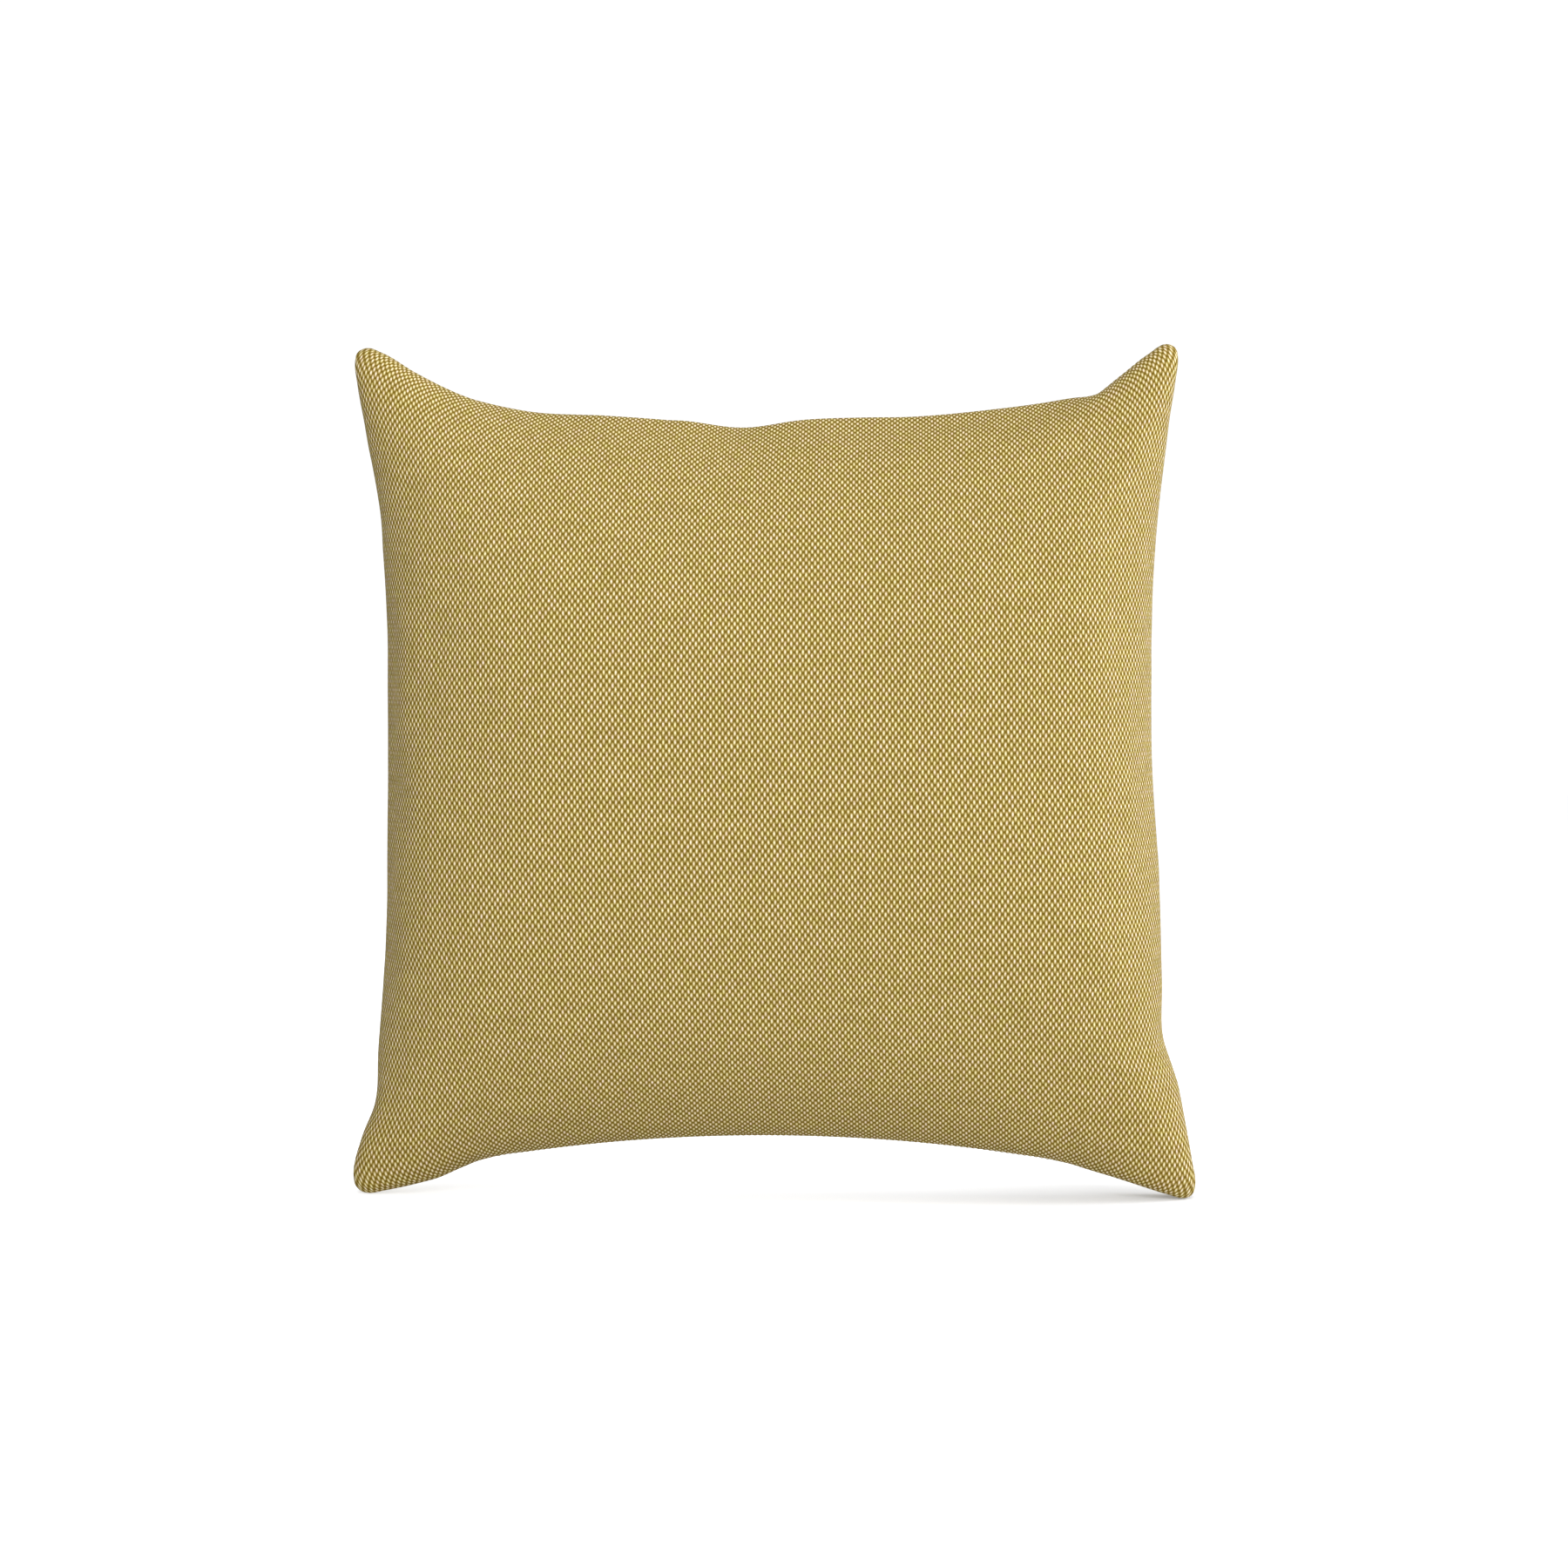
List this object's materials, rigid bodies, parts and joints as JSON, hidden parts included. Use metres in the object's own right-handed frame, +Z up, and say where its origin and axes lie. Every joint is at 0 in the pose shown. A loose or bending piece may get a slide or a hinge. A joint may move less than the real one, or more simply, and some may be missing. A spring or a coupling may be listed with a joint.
{
  "type": "throw pillow",
  "caption": "Plump square knife-edge throw pillow: woven zip-off cover over a filled insert, with a sunken coil zip in the bottom seam.",
  "frame": {"origin": "on the floor under the middle of the pillow's bounding box, where the two bottom tips rest", "axes": "+Z up, +X to the right seen from the front, -Y out of the front face, +Y out of the back face"},
  "size_m": [0.4386, 0.156, 0.4425],
  "materials": {
    "cover_cloth": "matte",
    "thread": "matte",
    "zip_weave": "matte",
    "nylon": "satin",
    "zip_metal": "satin",
    "ticking": "matte",
    "wadding": "matte",
    "label_satin": "satin"
  },
  "bodies": {
    "pillow": {"cover_front_panel": "cover_cloth", "cover_back_panel": "cover_cloth", "top_seam_thread": "thread", "left_seam_thread": "thread", "right_seam_thread": "thread", "bottom_seam_thread_left": "thread", "bottom_seam_thread_right": "thread", "zip_stitch_front": "thread", "zip_stitch_back": "thread", "zip_tape_front": "zip_weave", "zip_tape_back": "zip_weave", "zip_coil_front": "nylon", "zip_coil_back": "nylon", "zip_top_stop_front": "zip_metal", "zip_top_stop_back": "zip_metal", "zip_bottom_stop": "zip_metal", "insert_front_ticking": "ticking", "insert_back_ticking": "ticking", "insert_seam_thread": "thread", "insert_closing_stitch": "thread", "insert_fill": "wadding", "care_label": "label_satin"},
    "zip_slider": {"zip_slider_body": "zip_metal", "zip_slider_bridge": "zip_metal"},
    "zip_pull": {"zip_pull_tab": "zip_metal"}
  },
  "joints": [
    {"name": "zip_slider_travel", "type": "hinge", "parent": "pillow", "child": "zip_slider", "pos_m": [-0.00006, 0, -0.868], "axis": [0, -1, 0], "range_deg": [0, 16.4]},
    {"name": "zip_pull_swing", "type": "hinge", "parent": "zip_slider", "child": "zip_pull", "pos_m": [0.13274, 0, 0.02412], "axis": [0, -1, 0], "range_deg": [0, 120]}
  ]
}
